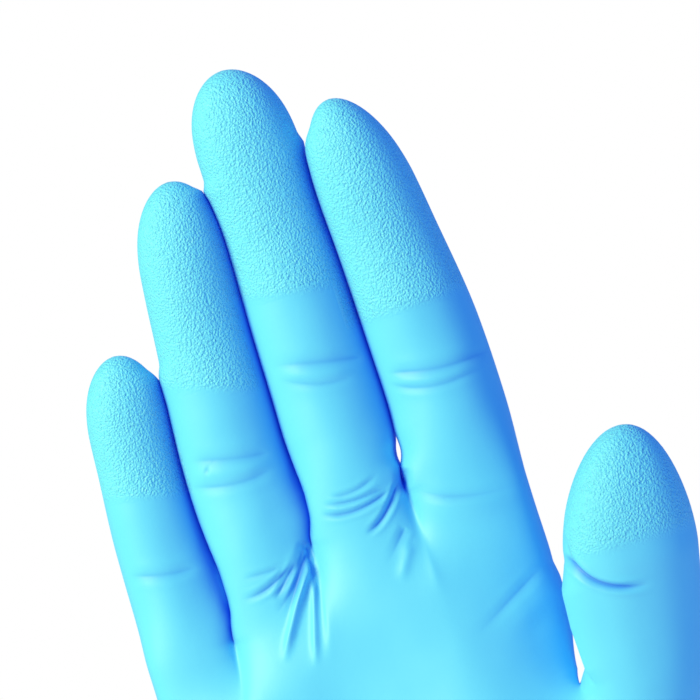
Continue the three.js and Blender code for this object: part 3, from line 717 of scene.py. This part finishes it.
def build_film():
    """The film's points and faces in millimetres: the pressed and creased outer skin, the inner skin, which
    follows the uncreased one a wall's thickness in and faces inwards, and the rolled rim, rings of part of a
    circle that join the two. Also the grain's share and the grooves' shade at the outer skin's points, which
    come first."""
    skin, contacts = build_skin()
    cage_quads, cage_triangles = np.concatenate(skin.quads), np.concatenate(skin.triangles)
    points, quads, normals = subdivided(skin.points, cage_quads, cage_triangles)
    tests = [on_front, *(near_fold(reach) for reach in SPLIT_NEAR)]
    outer, outward, faces = refined(points, normals, quads, tests)
    contacts.append(THUMB_CONTACT.values())
    outer = pressed(outer, contacts)
    count = len(outer)
    relief, shade = fold_relief(outer, outward)
    # Painted shade for the colour: darker blue in fold bottoms and along the lines where the fingers touch,
    # not the thumb's
    shade = np.maximum(shade, contact_shade(outer, contacts[:-1]))
    creased = outer + outward * relief[:, None]
    inner = points - WALL * normals
    faces += (quads[:, ::-1] + count).tolist()

    rim = rim_of(points)
    out = unit(normals[rim] * [1, 1, 0])
    angles = np.linspace(*BEAD_ANGLES, BEAD_STEPS)[:, None, None]
    bead = points[rim] * [1, 1, 0] + BEAD_RADIUS * (
        out * np.cos(angles) + np.array([0, 0, 1]) * (1 + np.sin(angles)))
    rings = count + len(inner) + np.arange(bead.size // 3).reshape(BEAD_STEPS, -1)
    rings = np.concatenate([rim[None], rings, rim[None] + count])
    band = np.stack([rings[1:], np.roll(rings[1:], -1, 1), np.roll(rings[:-1], -1, 1), rings[:-1]], -1)
    faces += band.reshape(-1, 4).tolist()
    return np.concatenate([creased, inner, bead.reshape(-1, 3)]), faces, grain_share(outer), shade


def grain_share(points):
    """1 on the ends of the fingers and the thumb, 0 elsewhere, with a soft edge."""
    x, z = points[:, 0], points[:, 2]
    share = np.zeros(len(points))
    for i, (x0, z0, x1, z1) in enumerate(zip(*GRAIN_EDGES.values())):
        on_finger = (x > EDGES[i] - 4) & (x < EDGES[i + 1] + 4) & (z > WEB_Z[i] + 2)
        edge = mix(z0, z1, (x - x0) / (x1 - x0))
        off_middle = np.abs(x - ROOT_X[i] - FINGERS["lean"][i] * 0.5)
        on_finger &= off_middle < FINGERS["breadth"][i] * 0.55
        share = np.where(on_finger, ease((z - edge) / GRAIN_SOFT + 0.5), share)
    thumb = (x > EDGES[4] + 2) & (z > 120)
    return np.where(thumb, ease((z - THUMB_GRAIN_Z) / THUMB_GRAIN_SOFT + 0.5), share)


def show_film():
    """The film as one object, in metres, with its grain attribute and its groove attribute, the strength of
    the painted shade.
    """
    points, faces, grain, groove = build_film()
    mesh = bpy.data.meshes.new("glove_film")
    mesh.from_pydata(points * MM, [], faces)
    mesh.update()
    mesh.shade_smooth()
    for name, outer in {"grain": grain, "groove": groove}.items():
        values = np.zeros(len(points))
        values[:len(outer)] = outer
        mesh.attributes.new(name, "FLOAT", "POINT").data.foreach_set("value", values)
    film = bpy.data.objects.new("glove_film", mesh)
    bpy.context.scene.collection.objects.link(film)
    return film


class Nodes:
    """Short ways to add a material's nodes and link them."""

    def __init__(self, tree):
        self.tree = tree

    def add(self, kind, values=None, links=None, **settings):
        """A node with its settings, its inputs' values and the sockets linked to its inputs."""
        node = self.tree.nodes.new(kind)
        for name, value in settings.items():
            setattr(node, name, value)
        for name, value in (values or {}).items():
            node.inputs[name].default_value = value
        for name, source in (links or {}).items():
            self.tree.links.new(source, node.inputs[name])
        return node

    def bump(self, height, strength, distance, before=None):
        """The normal after a bump, on top of the bumps before it."""
        links = {"Height": height} if before is None else {"Height": height, "Normal": before}
        values = {"Distance": distance, "Strength": strength}
        return self.add("ShaderNodeBump", values, links).outputs["Normal"]


# Colours of the film: two that patches vary between, the grained ends, the painted shade in grooves and where
# fingers touch, and a painted blue glow that lifts the shade, standing in for light passing through thin film
FILM_DARKER, FILM_LIGHTER = (0.095, 0.55, 0.92, 1), (0.120, 0.60, 0.95, 1)
ENDS_COLOUR, GROOVE_SHADE_COLOUR, PAINTED_GLOW_COLOUR = (0.120, 0.625, 0.94, 1), (0.0, 0.10, 0.75, 1), (0.0, 0.05, 0.60, 1)


def nitrile():
    """Sky-blue rubber film: soft sheen, low lumps and a fine skin all over, raised grain where the mesh's
    grain attribute says, a deeper blue painted as shade where its groove attribute says, and a painted blue
    glow."""
    material = bpy.data.materials.new("nitrile")
    material.use_nodes = True
    tree = material.node_tree
    nodes = Nodes(tree)
    shader = tree.nodes["Principled BSDF"]
    at = nodes.add("ShaderNodeTexCoord").outputs["Object"]
    share = nodes.add("ShaderNodeAttribute", attribute_name="grain").outputs["Fac"]

    lumps = nodes.add(
        "ShaderNodeTexNoise", {"Scale": 85.0, "Detail": 1.5, "Roughness": 0.4}, {"Vector": at})
    skin = nodes.add(
        "ShaderNodeTexNoise", {"Scale": 1500.0, "Detail": 2.0, "Roughness": 0.5}, {"Vector": at})
    grain = nodes.add(
        "ShaderNodeTexNoise", {"Scale": 2500.0, "Detail": 1.0, "Roughness": 0.4}, {"Vector": at})
    normal = nodes.bump(lumps.outputs["Fac"], 0.5, 0.0008)
    normal = nodes.bump(skin.outputs["Fac"], 0.12, 0.0001, normal)
    raised = nodes.add("ShaderNodeMath", operation="MULTIPLY")
    tree.links.new(grain.outputs["Fac"], raised.inputs[0])
    tree.links.new(share, raised.inputs[1])
    normal = nodes.bump(raised.outputs[0], 1.0, 0.0004, normal)
    tree.links.new(normal, shader.inputs["Normal"])

    patches = nodes.add("ShaderNodeTexNoise", {"Scale": 45.0, "Detail": 2.0}, {"Vector": at})
    colour = nodes.add("ShaderNodeMix", data_type="RGBA")
    colour.inputs["A"].default_value = FILM_DARKER
    colour.inputs["B"].default_value = FILM_LIGHTER
    tree.links.new(patches.outputs["Fac"], colour.inputs["Factor"])
    # Painted shade: the groove attribute mixes the colour towards deep blue in fold bottoms and where fingers
    # touch
    groove = nodes.add("ShaderNodeAttribute", attribute_name="groove").outputs["Fac"]
    deep = nodes.add("ShaderNodeMix", data_type="RGBA")
    deep.inputs["B"].default_value = GROOVE_SHADE_COLOUR
    tree.links.new(groove, deep.inputs["Factor"])
    ends = nodes.add("ShaderNodeMix", data_type="RGBA")
    ends.inputs["B"].default_value = ENDS_COLOUR
    tree.links.new(share, ends.inputs["Factor"])
    tree.links.new(colour.outputs["Result"], ends.inputs["A"])
    tree.links.new(ends.outputs["Result"], deep.inputs["A"])
    tree.links.new(deep.outputs["Result"], shader.inputs["Base Color"])
    shader.inputs["Roughness"].default_value = 0.5
    shader.inputs["Specular IOR Level"].default_value = 0.35
    # Painted glow: a faint blue emission, no lamp, that lifts the shade to deep blue, standing in for light
    # through the thin film
    shader.inputs["Emission Color"].default_value = PAINTED_GLOW_COLOUR
    shader.inputs["Emission Strength"].default_value = 0.15
    shader.inputs["Sheen Weight"].default_value = 0.1
    shader.inputs["Sheen Roughness"].default_value = 0.5
    return material


def plain(name, colour):
    """A matt material of one colour."""
    material = bpy.data.materials.new(name)
    material.use_nodes = True
    shader = material.node_tree.nodes["Principled BSDF"]
    shader.inputs["Base Color"].default_value = (*colour, 1)
    shader.inputs["Roughness"].default_value = 0.8
    return material


FLOOR_HALF, FLOOR_DROP = 0.35, 0.002


def floor():
    """A plain pale square floor, a little below the glove's rim."""
    mesh = bpy.data.meshes.new("floor")
    corners = [(x * FLOOR_HALF, y * FLOOR_HALF, 0) for x, y in ((-1, -1), (1, -1), (1, 1), (-1, 1))]
    mesh.from_pydata(corners, [], [(0, 1, 2, 3)])
    mesh.materials.append(plain("floor", (0.9, 0.9, 0.9)))
    ground = bpy.data.objects.new("floor", mesh)
    ground.location.z = -FLOOR_DROP
    bpy.context.scene.collection.objects.link(ground)
    return ground


def light(name, colour, power, size, place, target):
    """A square area light at a place, turned towards a target."""
    data = bpy.data.lights.new(name, "AREA")
    data.color, data.energy, data.size = colour, power, size
    lamp = bpy.data.objects.new(name, data)
    aim = np.array(target) - np.array(place)
    lamp.location = place
    lamp.rotation_euler = mathutils.Vector(aim).to_track_quat("-Z", "Y").to_euler()
    bpy.context.scene.collection.objects.link(lamp)


def surroundings():
    """White behind the object, and a soft blue fill for everything that isn't seen straight on."""
    world = bpy.data.worlds.new("studio")
    world.use_nodes = True
    tree = world.node_tree
    tree.nodes.clear()
    nodes = Nodes(tree)
    path = nodes.add("ShaderNodeLightPath")
    fill = nodes.add("ShaderNodeBackground", {"Color": (0.17, 0.31, 0.70, 1), "Strength": 1.0})
    white = nodes.add("ShaderNodeBackground", {"Color": (1, 1, 1, 1), "Strength": 1.0})
    mixed = nodes.add("ShaderNodeMixShader", {}, {"Fac": path.outputs["Is Camera Ray"]})
    tree.links.new(fill.outputs[0], mixed.inputs[1])
    tree.links.new(white.outputs[0], mixed.inputs[2])
    nodes.add("ShaderNodeOutputWorld", {}, {"Surface": mixed.outputs[0]})
    bpy.context.scene.world = world


VIEW_TURN = math.radians(17)
VIEW_CENTRE = np.array([11.73, 0, 186.02]) * MM
VIEW_DISTANCE, VIEW_FIELD, SENSOR = 1.0, 0.125, 36


def camera():
    """Looks square at the palm, turned so that the fingers lean left. The lens makes the view's field fill
    the frame at the view's distance."""
    data = bpy.data.cameras.new("camera")
    data.sensor_width = SENSOR
    data.lens = SENSOR * VIEW_DISTANCE / VIEW_FIELD
    data.clip_end = 10
    eye = bpy.data.objects.new("camera", data)
    c, s = math.cos(VIEW_TURN), math.sin(VIEW_TURN)
    turned = mathutils.Matrix(((c, s, 0), (0, 0, -1), (-s, c, 0))).to_4x4()
    eye.matrix_world = mathutils.Matrix.Translation(VIEW_CENTRE + [0, -VIEW_DISTANCE, 0]) @ turned
    bpy.context.scene.collection.objects.link(eye)
    bpy.context.scene.camera = eye


film = show_film()
film.data.materials.append(nitrile())
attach(film, "root")
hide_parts("glove")

scene = bpy.context.scene
scene.view_settings.view_transform = "Standard"
floor()
surroundings()
light(
    "key", colour=(1.0, 0.88, 0.25), power=12.6, size=0.4,
    place=(-0.62, -0.49, 0.60), target=(0.0, 0.0, 0.18),
)
camera()
